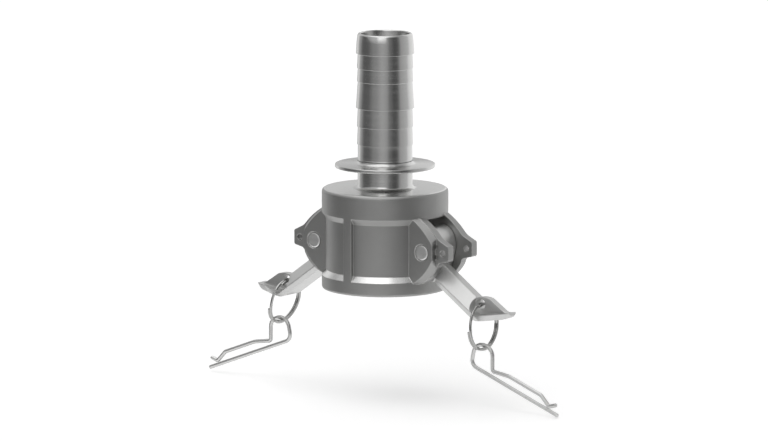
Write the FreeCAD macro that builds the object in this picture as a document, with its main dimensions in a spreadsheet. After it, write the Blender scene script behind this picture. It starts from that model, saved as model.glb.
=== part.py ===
import FreeCAD, Part

import math
import os

import Sketcher

App = FreeCAD
V = App.Vector

# Female cam and groove coupler with a hose tail, nominal bore 25 mm.
# The coupler axis is Z, the mouth lies at Z = 0 and faces down.
# The two arms stand out along +X and -X and turn about axes along Y.
# All lengths are millimetres and all angles are degrees.

os.makedirs("parts", exist_ok=True)
doc = App.newDocument("coupler")
sheet = doc.addObject("Spreadsheet::Sheet", "Dimensions")

SIZES = {
    # socket casting
    "body_rad": 28.5,
    "body_height": 45.5,
    "body_top_round": 1.6,
    "mouth_round": 1.1,
    "land_rad": 18.65,
    "land_high": 5.9,
    "bore_rad": 19.05,
    "end_wall": 3.7,
    "seal_seat_deep": 6.6,
    "seal_seat_rad": 20.1,
    "seal_wall_rad": 13.2,
    "seal_play": 0.3,
    "panel_rad": 26.7,
    "panel_low": 6.2,
    "panel_below_top": 10.8,
    "panel_slant": 2.6,
    "panel_span": 58.6,
    "rib_half_width": 2.15,
    "window_low": 6.1,
    "window_above_pin": 13.92,
    "ear_gap": 14.17,
    "ear_inner_face": 10.885,
    "ear_outer_face": 13.36,
    "ear_root_reach": 22.6,
    "ear_reach": 35.9,
    "ear_half_height": 14.6,
    "lug_reach": 43.1,
    "lug_hole_reach": 39.98,
    "lug_hole_rad": 1.45,
    "lug_pocket_depth": 0.8,
    "pin_reach": 30.09,
    "pin_height": 20.28,
    "ear_bore_rad": 3.25,
    "head_sink_rad": 3.9,
    "head_sink_depth": 0.25,
    # hose tail
    "neck_rad": 12.37,
    "flare_rad": 2.3,
    "collar_rad": 22.57,
    "collar_above_top": 9.4,
    "collar_thick": 1.6,
    "collar_edge": 0.35,
    "weld_rad": 2.1,
    "plain_rad": 12.26,
    "tail_long": 70.0,
    "barb_start": 19.8,
    "tail_bore_rad": 10.9,
    "barb_root_rad": 12.29,
    # arm
    "arm_width": 13.6,
    "arm_bore_rad": 3.28,
    "arm_angle": 35.3,
    "plate_low": 10.4,
    "plate_edge": 2.45,
    "bar_draft": 0.75,
    "ridge_half_width": 2.1,
    "ridge_top": 2.95,
    "ridge_start": 3.0,
    "ridge_end": 35.0,
    "web_thick": 3.4,
    "ring_hole_reach": 54.4,
    "ring_hole_height": -2.0,
    "ring_hole_rad": 2.35,
    # pin
    "pin_rad": 3.2,
    "pin_head_rad": 3.3,
    # ring
    "ring_in_rad": 9.7,
    "ring_out_rad": 10.95,
    "ring_coil": 1.0,
    # clip
    "wire_rad": 0.93,
    "clip_long": 46.4,
    "clip_slope": 20.85,
    "clip_eye_reach": -1.6,
    "clip_eye_height": 11.4,
    "clip_hang": 2.08,
}


def fill_sheet():
    """Write each named size on its own row and give the cell its name."""
    for row, (name, value) in enumerate(SIZES.items(), start=1):
        sheet.set("A%d" % row, name)
        sheet.set("B%d" % row, "%g" % value)
        sheet.setAlias("B%d" % row, name)
    doc.recompute()


def size(name):
    """Read one named size back from the sheet."""
    return float(sheet.get(name))


def new_body(name):
    """Start an empty body whose label is the name of its file."""
    body = doc.addObject("PartDesign::Body", name)
    body.Label = name
    return body


def plane_of(body, role):
    """Return the body's own origin plane with the given role."""
    for feature in body.Origin.OriginFeatures:
        if feature.Role == role:
            return feature
    raise ValueError(role)


def sketch_on(body, role, name, shift=None, turn=None):
    """Lay a flat sketch on an origin plane, shifted or turned within it."""
    sketch = body.newObject("Sketcher::SketchObject", name)
    sketch.AttachmentSupport = [(plane_of(body, role), "")]
    sketch.MapMode = "FlatFace"
    place = App.Placement(shift or V(0, 0, 0), turn or App.Rotation())
    sketch.AttachmentOffset = place
    return sketch


def draw(sketch, pieces, closed=True):
    """Add lines, arcs and circles to a sketch and join their ends.

    A piece is a pair of points for a line, three points for an arc
    through the middle one, or a point and a radius for a circle.
    """
    first = sketch.GeometryCount
    joined = []
    for piece in pieces:
        if len(piece) == 2 and isinstance(piece[1], (int, float)):
            centre = V(piece[0][0], piece[0][1], 0)
            circle = Part.Circle(centre, V(0, 0, 1), piece[1])
            sketch.addGeometry(circle, False)
            continue
        points = [V(p[0], p[1], 0) for p in piece]
        if len(points) == 2:
            index = sketch.addGeometry(Part.LineSegment(*points), False)
        else:
            index = sketch.addGeometry(Part.Arc(*points), False)
        joined.append((index, points[0]))
    for step, (index, start) in enumerate(joined):
        if step == 0 and not closed:
            continue
        before = joined[step - 1][0]
        end = near_end(sketch, before, start)
        own = near_end(sketch, index, start)
        sketch.addConstraint(
            Sketcher.Constraint("Coincident", before, end, index, own))
    return first


def near_end(sketch, index, point):
    """Say which end of a sketch edge lies at the point."""
    gap_one = sketch.getPoint(index, 1).distanceToPoint(point)
    gap_two = sketch.getPoint(index, 2).distanceToPoint(point)
    return 1 if gap_one <= gap_two else 2


def chain(*stops):
    """Join stops by lines; a stop written as two points is an arc."""
    pieces = []
    here = stops[0]
    for stop in stops[1:]:
        if isinstance(stop[0], tuple):
            pieces.append((here, stop[0], stop[1]))
            here = stop[1]
        else:
            pieces.append((here, stop))
            here = stop
    return pieces


def loop(*stops):
    """A closed chain that returns to its first stop."""
    return chain(*stops) + [(last_point(stops[-1]), stops[0])]


def last_point(stop):
    """The end point of a stop, straight or arc."""
    return stop[1] if isinstance(stop[0], tuple) else stop


def pad(body, sketch, name, length, midplane=False, reverse=False):
    """Raise a sketch to a solid; the length is a sheet name or formula."""
    feature = body.newObject("PartDesign::Pad", name)
    feature.Profile = sketch
    feature.setExpression("Length", length)
    feature.Midplane = midplane
    feature.Reversed = reverse
    sketch.Visibility = False
    doc.recompute()
    return feature


def cut(body, sketch, name, length=None, midplane=False, reverse=False):
    """Cut a sketch out of a body, through everything or to a depth."""
    feature = body.newObject("PartDesign::Pocket", name)
    feature.Profile = sketch
    feature.Midplane = midplane
    feature.Reversed = reverse
    if length is None:
        feature.Type = "ThroughAll"
    else:
        feature.setExpression("Length", length)
    sketch.Visibility = False
    doc.recompute()
    return feature


def loft(body, sketch, end, name):
    """Join two closed sketches by straight lines to a solid."""
    feature = body.newObject("PartDesign::AdditiveLoft", name)
    feature.Profile = sketch
    feature.Sections = [end]
    feature.Ruled = True
    sketch.Visibility = False
    end.Visibility = False
    doc.recompute()
    return feature


def turned(body, sketch, name, kind="PartDesign::Revolution", angle=360.0):
    """Turn a sketch about its own vertical axis."""
    feature = body.newObject(kind, name)
    feature.Profile = sketch
    feature.ReferenceAxis = (sketch, ["V_Axis"])
    feature.Angle = angle
    if angle < 360.0:
        feature.Midplane = True
    sketch.Visibility = False
    doc.recompute()
    return feature


fill_sheet()
S = {name: size(name) for name in SIZES}

# Heights that follow from the driving sizes.
SEAT_HIGH = S["body_height"] - S["end_wall"]
SEAT_LOW = SEAT_HIGH - S["seal_seat_deep"]
COLLAR_LOW = S["body_height"] + S["collar_above_top"]
COLLAR_HIGH = COLLAR_LOW + S["collar_thick"]
TAIL_TOP = S["body_height"] + S["tail_long"]


# Socket casting
# A turned wall with two windows for the cams, four sunk panels,
# a pair of ears on each side and the seat of the seal ring.

def make_socket():
    body = new_body("coupler_body")
    sketch = sketch_on(body, "XZ_Plane", "socket_profile")
    top_round = S["body_top_round"]
    low_round = S["mouth_round"]
    lean = 0.2929
    draw(sketch, loop(
        (S["land_rad"], 0.0),
        (S["body_rad"] - low_round, 0.0),
        ((S["body_rad"] - low_round * lean, low_round * lean),
         (S["body_rad"], low_round)),
        (S["body_rad"], S["body_height"] - top_round),
        ((S["body_rad"] - top_round * lean,
          S["body_height"] - top_round * lean),
         (S["body_rad"] - top_round, S["body_height"])),
        (S["seal_wall_rad"], S["body_height"]),
        (S["seal_wall_rad"], SEAT_HIGH),
        (S["seal_seat_rad"], SEAT_HIGH),
        (S["seal_seat_rad"], SEAT_LOW),
        (S["bore_rad"], SEAT_LOW),
        (S["bore_rad"], S["land_high"] + 0.4),
        (S["land_rad"], S["land_high"]),
    ))
    turned(body, sketch, "socket_wall")

    # Sunk panels between the ears and the ribs, one cut and three copies.
    ear_edge = math.degrees(math.asin(S["ear_outer_face"] / S["body_rad"]))
    rib_edge = 90 - math.degrees(
        math.asin(S["rib_half_width"] / S["body_rad"]))
    start = ear_edge - 1.5
    middle = (start + rib_edge) / 2
    slant = S["panel_slant"]
    out = S["body_rad"] + 1.0
    lift = slant * 1.0 / (S["body_rad"] - S["panel_rad"])
    panel_high = S["body_height"] - S["panel_below_top"]
    sketch = sketch_on(body, "XZ_Plane", "panel_profile",
                       turn=App.Rotation(V(0, 1, 0), middle))
    draw(sketch, loop(
        (S["panel_rad"], S["panel_low"] + slant),
        (S["panel_rad"], panel_high - slant),
        (out, panel_high + lift),
        (out, S["panel_low"] - lift),
    ))
    groove = turned(body, sketch, "panel_cut",
                    "PartDesign::Groove", rib_edge - start)
    panels = body.newObject("PartDesign::MultiTransform", "panel_set")
    panels.Originals = [groove]
    across = doc.addObject("PartDesign::Mirrored", "panel_across")
    across.MirrorPlane = (plane_of(body, "YZ_Plane"), [""])
    along = doc.addObject("PartDesign::Mirrored", "panel_along")
    along.MirrorPlane = (plane_of(body, "XZ_Plane"), [""])
    panels.Transformations = [across, along]
    body.Tip = panels
    doc.recompute()

    # Inner layer of the ears with the lug that carries the lock hole.
    mid = S["pin_height"]
    root = S["ear_root_reach"]
    lug = S["lug_reach"]
    inner = loop(
        (root, mid - 15.2),
        (27.4, mid - 14.75),
        ((32.2, mid - 12.2), (37.0, mid - 6.4)),
        ((37.9, mid - 4.6), (39.4, mid - 4.0)),
        (lug - 1.1, mid - 3.4),
        ((lug - 0.3, mid - 3.1), (lug, mid - 2.5)),
        (lug, mid + 2.7),
        ((lug - 0.3, mid + 3.5), (lug - 0.9, mid + 3.8)),
        (39.0, mid + 5.4),
        ((37.9, mid + 6.0), (36.9, mid + 6.9)),
        ((32.6, mid + 11.2), (27.4, mid + 14.9)),
        (root, mid + 15.2),
    )
    for side, turn in (("right", 0.0), ("left", 180.0)):
        for hand, face in (("front", -1), ("rear", 1)):
            sketch = sketch_on(body, "XZ_Plane", "lug_%s_%s" % (side, hand))
            shift_face(sketch, face * S["ear_gap"] / 2, turn)
            draw(sketch, flipped(inner, turn))
            pad(body, sketch, "ear_lug_%s_%s" % (side, hand),
                "<<Dimensions>>.ear_inner_face - <<Dimensions>>.ear_gap / 2",
                reverse=(face > 0))

    # Outer layer of the ears, a boss round each end of the pin whose
    # sides slope down to the outline of the inner layer.
    half = S["ear_half_height"]
    reach = S["ear_reach"]
    foot = loop(
        (root, mid - 15.0),
        (27.2, mid - 14.55),
        ((31.9, mid - 12.0), (36.5, mid - 6.2)),
        ((36.4, mid - 4.0), (reach + 0.1, mid - 2.6)),
        (reach + 0.1, mid + 3.2),
        ((36.4, mid + 4.6), (36.4, mid + 6.6)),
        ((32.3, mid + 11.0), (27.2, mid + 14.7)),
        (root, mid + 15.0),
    )
    crest = loop(
        (root, mid - half - 0.2),
        (25.0, mid - half),
        ((31.2, mid - 9.7), (35.3, mid - 4.0)),
        ((35.8, mid - 3.0), (reach, mid - 2.0)),
        (reach, mid + 2.6),
        ((35.8, mid + 3.6), (35.3, mid + 4.5)),
        ((31.0, mid + 9.7), (25.0, mid + half)),
        (root, mid + half + 0.2),
    )
    for side, turn in (("right", 0.0), ("left", 180.0)):
        for hand, face in (("front", -1), ("rear", 1)):
            label = "%s_%s" % (side, hand)
            low = sketch_on(body, "XZ_Plane", "boss_foot_" + label)
            shift_face(low, face * (S["ear_inner_face"] - 0.05), turn)
            draw(low, flipped(foot, turn))
            high = sketch_on(body, "XZ_Plane", "boss_crest_" + label)
            shift_face(high, face * S["ear_outer_face"], turn)
            draw(high, flipped(crest, turn))
            loft(body, low, high, "ear_boss_" + label)

    # Windows for the cams, cut straight through both sides of the wall.
    sketch = sketch_on(body, "YZ_Plane", "window")
    gap = S["ear_gap"] / 2
    window_high = mid + S["window_above_pin"]
    draw(sketch, loop(
        (-gap, S["window_low"]), (gap, S["window_low"]),
        (gap, window_high), (-gap, window_high),
    ))
    cut(body, sketch, "window_cut", midplane=True)

    # Pin bores with a shallow sink for each pin head, then the lock holes.
    sketch = sketch_on(body, "XZ_Plane", "pin_bores")
    draw(sketch, [
        ((S["pin_reach"], mid), S["ear_bore_rad"]),
        ((-S["pin_reach"], mid), S["ear_bore_rad"]),
        ((S["lug_hole_reach"], mid + 0.2), S["lug_hole_rad"]),
        ((-S["lug_hole_reach"], mid + 0.2), S["lug_hole_rad"]),
    ])
    cut(body, sketch, "pin_bore_cut", midplane=True)
    for hand, face in (("front", -1), ("rear", 1)):
        sketch = sketch_on(body, "XZ_Plane", "head_sinks_" + hand)
        shift_face(sketch, face * S["ear_outer_face"], 0.0)
        draw(sketch, [
            ((S["pin_reach"], mid), S["head_sink_rad"]),
            ((-S["pin_reach"], mid), S["head_sink_rad"]),
        ])
        cut(body, sketch, "head_sink_" + hand,
            "<<Dimensions>>.head_sink_depth", reverse=(face > 0))

    # Two small pockets beside each boss leave a rib that stays the lug.
    near = reach + 0.05
    far = reach + 1.3
    pockets = (
        loop((near, mid + 2.0), (far, mid + 2.0),
             (far, mid + 4.1), (near, mid + 4.1)),
        loop((near, mid - 2.6), (far, mid - 2.6),
             (far, mid - 0.6), (near, mid - 0.6)),
    )
    for hand, face in (("front", -1), ("rear", 1)):
        sketch = sketch_on(body, "XZ_Plane", "lug_pockets_" + hand)
        shift_face(sketch, face * S["ear_inner_face"], 0.0)
        for outline in pockets:
            draw(sketch, outline)
            draw(sketch, flipped(outline, 180.0))
        cut(body, sketch, "lug_pocket_" + hand,
            "<<Dimensions>>.lug_pocket_depth", reverse=(face > 0))
    return body


def shift_face(sketch, depth, turn):
    """Move a sketch of the XZ plane to the world position Y = depth."""
    sketch.AttachmentOffset = App.Placement(V(0, 0, -depth), App.Rotation())


def flipped(pieces, turn):
    """Mirror an outline to the other side of the coupler axis."""
    if turn == 0.0:
        return pieces
    return [tuple((-x, z) for x, z in piece) for piece in pieces]


# Hose tail
# Turned from tube and let into the end wall of the socket.

def make_tail():
    body = new_body("hose_shank")
    sketch = sketch_on(body, "XZ_Plane", "tail_profile")
    neck = S["neck_rad"]
    flare = S["flare_rad"]
    seat = S["body_height"]
    weld_top = COLLAR_HIGH + S["weld_rad"]
    plain = S["plain_rad"]
    start = seat + S["barb_start"]
    root = S["barb_root_rad"]
    lip = 0.55
    stops = [
        (S["tail_bore_rad"], SEAT_HIGH),
        (S["seal_wall_rad"], SEAT_HIGH),
        (S["seal_wall_rad"], seat),
        (neck + flare, seat),
        ((neck + flare * 0.2929, seat + flare * 0.2929),
         (neck, seat + flare)),
        (neck, weld_top),
        (plain, weld_top + 0.2),
        (plain, start),
    ]
    # Each barb grows from the root at its top to its rim at its foot.
    # A barb is its share of the barbed length and its height over the root.
    barbs = (
        (0.1614, 0.33), (0.1673, 0.39), (0.2390, 0.85),
        (0.1195, 0.35), (0.1315, 0.37), (0.1813, 0.84),
    )
    foot = start
    for share, rise in barbs:
        head = foot + share * (TAIL_TOP - start)
        stops.append((root + rise - 0.12, foot))
        stops.append((root + rise, foot + 0.18))
        stops.append((root, head))
        foot = head
    # The last barb ends in a rounded lip instead of at the root.
    stops[-1] = (root - 0.19, TAIL_TOP - lip)
    stops += [
        (root - 0.19 - lip, TAIL_TOP),
        (S["tail_bore_rad"] + 0.5, TAIL_TOP),
        (S["tail_bore_rad"], TAIL_TOP - 0.5),
    ]
    draw(sketch, loop(*stops))
    turned(body, sketch, "tail_turned")
    return body


# Shank collar
# A thin disc on the neck that stops the hose, with its weld on top.

def make_collar():
    body = new_body("shank_collar")
    sketch = sketch_on(body, "XZ_Plane", "collar_profile")
    neck = S["neck_rad"]
    low = COLLAR_LOW
    high = COLLAR_HIGH
    edge = S["collar_edge"]
    collar = S["collar_rad"]
    weld = S["weld_rad"]
    draw(sketch, loop(
        (neck, low),
        (collar - edge, low),
        (collar, low + edge),
        (collar, high - edge),
        (collar - edge, high),
        (neck + weld, high),
        ((neck + weld * 0.2929, high + weld * 0.2929),
         (neck, high + weld)),
    ))
    turned(body, sketch, "collar_turned")
    return body


# Seal ring
# A flat ring in the seat of the end wall, with its edges eased.

def make_gasket():
    body = new_body("gasket")
    sketch = sketch_on(body, "XZ_Plane", "gasket_profile")
    low = SEAT_LOW + 0.05
    high = SEAT_HIGH
    inner = S["seal_wall_rad"] + S["seal_play"]
    outer = S["seal_seat_rad"] - S["seal_play"]
    ease = 0.5
    draw(sketch, loop(
        (inner + ease, low),
        (outer - ease, low),
        (outer, low + ease),
        (outer, high - ease),
        (outer - ease, high),
        (inner + ease, high),
        (inner, high - ease),
        (inner, low + ease),
    ))
    turned(body, sketch, "gasket_ring")
    return body


# Cam arm
# Drawn with its pin axis at the origin, its lever along +X and its
# outer side towards +Z, then placed on the coupler at the arm angle.

def make_arm(name, turn):
    body = new_body(name)
    tilt = math.radians(S["arm_angle"])

    def local(x, z):
        """Take a point given about the pin in the standing pose."""
        return (x * math.cos(tilt) - z * math.sin(tilt),
                x * math.sin(tilt) + z * math.cos(tilt))

    def by_hole(x, z):
        """Take a point given about the ring hole in the standing pose."""
        return local(S["ring_hole_reach"] - S["pin_reach"] + x,
                     S["ring_hole_height"] - S["pin_height"] + z)

    low = -S["plate_low"]
    high = low + S["plate_edge"]
    # Cam head, a drum whose nose turns towards the bore, with its heel
    # over the mouth ring.
    sketch = sketch_on(body, "XZ_Plane", "head_profile")
    draw(sketch, loop(
        local(-8.0, 6.9),
        (local(-5.3, 9.35), local(-2.2, 10.2)),
        (local(1.8, 8.2), local(3.8, 4.6)),
        (local(4.35, 1.8), local(4.1, -1.6)),
        (6.4, high + 2.5),
        (9.2, high),
        (12.4, high),
        (12.4, low),
        (9.4, low),
        ((7.6, low - 1.0), (5.6, low - 1.55)),
        (2.2, low - 1.1),
        local(-10.2, -8.2),
        (local(-13.4, -3.2), local(-12.6, 1.2)),
        (local(-10.4, 4.0), local(-8.0, 6.9)),
    )[:-1])
    pad(body, sketch, "cam_head", "<<Dimensions>>.arm_width", midplane=True)

    # Ridge along the lever, a trapezoid that narrows to its top land.
    sketch = sketch_on(body, "YZ_Plane", "ridge_profile",
                       shift=V(0, 0, S["ridge_start"]))
    half = S["arm_width"] / 2
    top = -S["ridge_top"]
    land = S["ridge_half_width"]
    draw(sketch, loop(
        (-half, high - 0.4), (half, high - 0.4), (half, high),
        (land, top), (-land, top), (-half, high),
    ))
    pad(body, sketch, "lever_ridge",
        "<<Dimensions>>.ridge_end - <<Dimensions>>.ridge_start")

    # Round relief on each side that thins the ridge to a web at the hole.
    hole = by_hole(0.0, 0.0)
    relief = (hole[0] + 0.9, hole[1] - 0.1)
    for hand, face in (("front", -1), ("rear", 1)):
        sketch = sketch_on(body, "XZ_Plane", "relief_" + hand,
                           shift=V(0, 0, -face * S["web_thick"] / 2))
        draw(sketch, loop(
            (relief[0], high),
            ((relief[0] - 4.3, relief[1]), (relief[0], relief[1] + 4.3)),
            (40.0, relief[1] + 4.3),
            (40.0, high),
        ))
        cut(body, sketch, "relief_cut_" + hand, "10",
            reverse=(face < 0))

    # Flat bar of the lever with the upturned finger tongue.
    sketch = sketch_on(body, "XZ_Plane", "bar_profile")
    draw(sketch, loop(
        (9.4, low),
        (34.6, low),
        ((36.5, low + 0.45), (38.0, low + 1.55)),
        (45.6, low + 8.4),
        ((47.0, low + 10.0), (48.0, low + 11.7)),
        ((48.0, low + 13.2), (46.5, low + 12.9)),
        (43.0, low + 9.4),
        (36.4, low + 3.5),
        ((35.4, low + 2.7), (34.0, high)),
        (9.4, high),
    ))
    pad(body, sketch, "lever_bar", "<<Dimensions>>.arm_width",
        midplane=True)

    # The under edges of the bar are drawn in towards its underside.
    sketch = sketch_on(body, "YZ_Plane", "bar_draft", shift=V(0, 0, 9.4))
    for face in (-1, 1):
        draw(sketch, loop(
            (face * half, high - 0.3),
            (face * (half + 1.0), high - 0.3),
            (face * (half + 1.0), low - 1.0),
            (face * (half - S["bar_draft"]), low - 1.0),
            (face * (half - S["bar_draft"]), low),
        ))
    cut(body, sketch, "bar_draft_cut", "60", reverse=True)

    # Upright web that carries the ring hole and stiffens the tongue.
    sketch = sketch_on(body, "XZ_Plane", "web_profile")
    draw(sketch, loop(
        (29.4, low + 1.0),
        (29.4, top),
        by_hole(-1.01, 2.98),
        (by_hole(2.09, 3.23), by_hole(4.89, 2.68)),
        by_hole(11.69, -1.82),
        (by_hole(12.79, -2.42), by_hole(14.29, -2.62)),
        by_hole(14.29, -3.52),
        (36.2, low + 1.0),
    ))
    pad(body, sketch, "finger_web", "<<Dimensions>>.web_thick",
        midplane=True)

    # Plan outline of the tongue, cut from above on both sides.
    sketch = sketch_on(body, "XY_Plane", "tongue_plan",
                       shift=V(0, 0, -14.0))
    for face in (-1, 1):
        draw(sketch, loop(
            (37.4, face * (half + 1.0)),
            (37.4, face * half),
            ((40.6, face * 6.0), (43.2, face * 4.4)),
            (46.6, face * 2.9),
            ((47.8, face * 2.0), (48.4, 0.0)),
            (53.0, 0.0),
            (53.0, face * (half + 1.0)),
        ))
    cut(body, sketch, "tongue_cut", "30", reverse=True)

    # Pin bore and ring hole.
    sketch = sketch_on(body, "XZ_Plane", "arm_holes")
    draw(sketch, [
        ((0.0, 0.0), S["arm_bore_rad"]),
        (hole, S["ring_hole_rad"]),
    ])
    cut(body, sketch, "arm_hole_cut", midplane=True)

    place = App.Rotation(V(0, 0, 1), turn).multiply(
        App.Rotation(V(0, 1, 0), S["arm_angle"]))
    side = App.Rotation(V(0, 0, 1), turn).multVec(V(S["pin_reach"], 0, 0))
    body.Placement = App.Placement(
        side + V(0, 0, S["pin_height"]), place)
    return body


# Pivot pin
# A plain pin, headed over into the sinks of the ears.

def make_pin(name, turn):
    body = new_body(name)
    sketch = sketch_on(body, "XY_Plane", "pin_profile")
    reach = S["ear_outer_face"]
    neck = reach - S["head_sink_depth"]
    shank = S["pin_rad"]
    head = S["pin_head_rad"]
    draw(sketch, loop(
        (0.0, -reach - 0.1),
        (head * 0.7, -reach - 0.1),
        ((head * 0.9, -reach - 0.04), (head, -reach + 0.1)),
        (shank, -neck),
        (shank, neck),
        (head, reach - 0.1),
        ((head * 0.9, reach + 0.04), (head * 0.7, reach + 0.1)),
        (0.0, reach + 0.1),
    ))
    turned(body, sketch, "pin_turned")
    side = App.Rotation(V(0, 0, 1), turn).multVec(V(S["pin_reach"], 0, 0))
    body.Placement = App.Placement(
        side + V(0, 0, S["pin_height"]), App.Rotation())
    return body


# Pull ring
# A split ring of two flat coils; one coil is open beside the arm.

def make_ring(name, turn, swing):
    body = new_body(name)
    coil = S["ring_coil"]
    middle = (S["ring_in_rad"] + S["ring_out_rad"]) / 2
    for label, side, angle in (("whole", -1, 360.0), ("open", 1, 268.0)):
        sketch = sketch_on(body, "XZ_Plane", "coil_" + label,
                           turn=App.Rotation(V(0, 1, 0), 24.0))
        near = 0.0
        far = side * coil
        sink = side * 0.1
        draw(sketch, loop(
            (S["ring_in_rad"], sink * 3),
            (S["ring_in_rad"], far - sink * 3),
            (S["ring_in_rad"] + 0.3, far),
            (S["ring_out_rad"] - 0.3, far),
            (S["ring_out_rad"], far - sink * 3),
            (S["ring_out_rad"], sink * 3),
            (S["ring_out_rad"] - 0.3, near),
            (S["ring_in_rad"] + 0.3, near),
        ))
        turned(body, sketch, "ring_" + label, angle=angle)
    # The ring axis is laid along the lever direction and the ring is
    # hung from the hole, leaning by its swing about the hole.
    lay = App.Rotation(V(0, 1, 0), 90.0)
    lean = App.Rotation(V(0, 1, 0), swing)
    hang = App.Placement(V(0, 0, -middle), lay)
    pose = App.Placement(hole_point(), lean).multiply(hang)
    spin = App.Placement(V(0, 0, 0), App.Rotation(V(0, 0, 1), turn))
    body.Placement = spin.multiply(pose)
    return body


def hole_point():
    """World position of the ring hole of the right arm."""
    return V(S["ring_hole_reach"], 0.0, S["ring_hole_height"])


# Safety clip
# One bent wire with an eye; the eye hangs on the foot of the ring.

def bent(*corners):
    """Turn corner points with bend radii into lines and tangent arcs."""
    pieces = []
    here = corners[0][:2]
    for number in range(1, len(corners) - 1):
        before = V(corners[number - 1][0], corners[number - 1][1], 0)
        corner = V(corners[number][0], corners[number][1], 0)
        after = V(corners[number + 1][0], corners[number + 1][1], 0)
        back = (before - corner).normalize()
        ahead = (after - corner).normalize()
        half = back.getAngle(ahead) / 2
        reach = corners[number][2] / math.tan(half)
        bisect = (back + ahead).normalize()
        centre = corner + bisect * (corners[number][2] / math.sin(half))
        into = corner + back * reach
        out = corner + ahead * reach
        crown = centre - bisect * corners[number][2]
        pieces.append((here, (into.x, into.y)))
        pieces.append(((into.x, into.y), (crown.x, crown.y),
                       (out.x, out.y)))
        here = (out.x, out.y)
    pieces.append((here, corners[-1][:2]))
    return pieces


def make_clip(name, turn, swing):
    body = new_body(name)
    path = sketch_on(body, "XZ_Plane", "clip_path")
    draw(path, bent(
        (S["clip_long"], 0.0, 0.0),
        (-4.1, 0.0, 3.6),
        (-5.9, 11.7, 5.0),
        (3.9, 11.5, 4.4),
        (7.4, 2.5, 1.3),
        (16.5, 4.5, 12.0),
        (35.0, 4.5, 3.0),
        (40.7, 1.75, 1.4),
        (43.9, 4.15, 0.0),
    ), closed=False)
    section = sketch_on(body, "YZ_Plane", "clip_section",
                        shift=V(0, 0, S["clip_long"]))
    draw(section, [((0.0, 0.0), S["wire_rad"])])
    wire = body.newObject("PartDesign::AdditivePipe", "clip_wire")
    wire.Profile = section
    wire.Spine = path
    wire.Mode = "Frenet"
    doc.recompute()
    # The eye bends round the foot of the ring, which is the clip's axis.
    ring_span = S["ring_in_rad"] + S["ring_out_rad"]
    lean = App.Rotation(V(0, 1, 0), swing)
    foot = hole_point() + lean.multVec(V(0, 0, -ring_span))
    slope = App.Rotation(V(0, 1, 0), S["clip_slope"])
    eye = slope.multVec(V(S["clip_eye_reach"], 0, S["clip_eye_height"]))
    base = foot + V(0, 0, S["clip_hang"]) - eye
    pose = App.Placement(base, slope)
    spin = App.Placement(V(0, 0, 0), App.Rotation(V(0, 0, 1), turn))
    body.Placement = spin.multiply(pose)
    return body


nodes = [
    make_socket(),
    make_tail(),
    make_collar(),
    make_gasket(),
    make_arm("cam_arm_right", 0.0),
    make_arm("cam_arm_left", 180.0),
    make_pin("pivot_pin_right", 0.0),
    make_pin("pivot_pin_left", 180.0),
    make_ring("pull_ring_right", 0.0, 0.0),
    make_ring("pull_ring_left", 180.0, -15.0),
    make_clip("safety_clip_right", 0.0, 0.0),
    make_clip("safety_clip_left", 180.0, -15.0),
]
doc.recompute()

for item in doc.Objects:
    bad = [flag for flag in item.State if flag in ("Invalid", "Error")]
    if bad:
        raise RuntimeError("%s %s %s" % (item.Name, item.Label, bad))

for node in nodes:
    shape = node.Shape
    if shape.isNull() or not shape.isValid():
        raise RuntimeError("bad shape: " + node.Label)
    if len(shape.Solids) != 1:
        raise RuntimeError("not one solid: " + node.Label)
    shape.exportStep("parts/%s.step" % node.Label)
    box = shape.BoundBox
    print("%-18s volume %9.1f  x %6.1f %6.1f  y %6.1f %6.1f  z %6.1f %6.1f" % (
        node.Label, shape.Volume, box.XMin, box.XMax, box.YMin, box.YMax,
        box.ZMin, box.ZMax))
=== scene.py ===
# %% [markdown]
# This lesson dresses a cam and groove hose coupler. The solids already
# exist and they fit together, so the work left is what the eye sees: steel
# that was cast, turned, drawn and rolled, soft edges, light and a camera.
# The solids come in from model.glb as a fixed frame, in metres, and each new
# piece hangs under an empty named after the solid that it rides on.

import math

import bpy
import numpy as np
from mathutils import Matrix, Vector


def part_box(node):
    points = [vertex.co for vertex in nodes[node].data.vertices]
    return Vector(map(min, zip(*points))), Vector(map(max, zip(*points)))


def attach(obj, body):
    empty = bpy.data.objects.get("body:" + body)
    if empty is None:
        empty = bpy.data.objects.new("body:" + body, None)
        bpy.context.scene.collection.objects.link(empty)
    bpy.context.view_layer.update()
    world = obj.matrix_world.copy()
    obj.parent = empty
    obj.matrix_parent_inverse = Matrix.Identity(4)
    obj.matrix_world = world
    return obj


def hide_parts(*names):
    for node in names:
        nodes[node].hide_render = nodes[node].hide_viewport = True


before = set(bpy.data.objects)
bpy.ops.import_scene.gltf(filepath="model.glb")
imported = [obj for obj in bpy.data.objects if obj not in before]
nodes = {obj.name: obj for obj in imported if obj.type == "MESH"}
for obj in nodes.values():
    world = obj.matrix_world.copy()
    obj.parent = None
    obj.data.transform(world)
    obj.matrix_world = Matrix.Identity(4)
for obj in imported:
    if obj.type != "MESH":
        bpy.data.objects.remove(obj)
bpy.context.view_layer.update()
scene = bpy.context.scene
MM = 0.001
print("solids:", sorted(nodes))

# %% [markdown]
# The photograph looks down on the coupler by nine degrees, with the arms
# turned about two fifths of a right angle out of the picture plane. The
# lens is long, so the lines hardly converge. A camera is made from three
# directions, to its right, up and back, which are the columns of its turn.

# %% Camera
VIEW_ANGLE = math.radians(36.5)
VIEW_RISE = math.radians(9.013)
VIEW_DISTANCE = 2.783329
LENS_IN_PIXELS = 6172.286
PICTURE_WIDTH = 768
SENSOR_WIDTH = 36.0
SHIFT_RIGHT_MM, SHIFT_UP_MM = -0.477, 30.042


def camera_axes(angle, rise):
    """Right, up and back of a camera at a compass angle and a rise."""
    back = Vector((math.sin(angle) * math.cos(rise),
                   -math.cos(angle) * math.cos(rise), math.sin(rise)))
    right = Vector((math.cos(angle), math.sin(angle), 0.0))
    return right, back.cross(right), back


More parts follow.
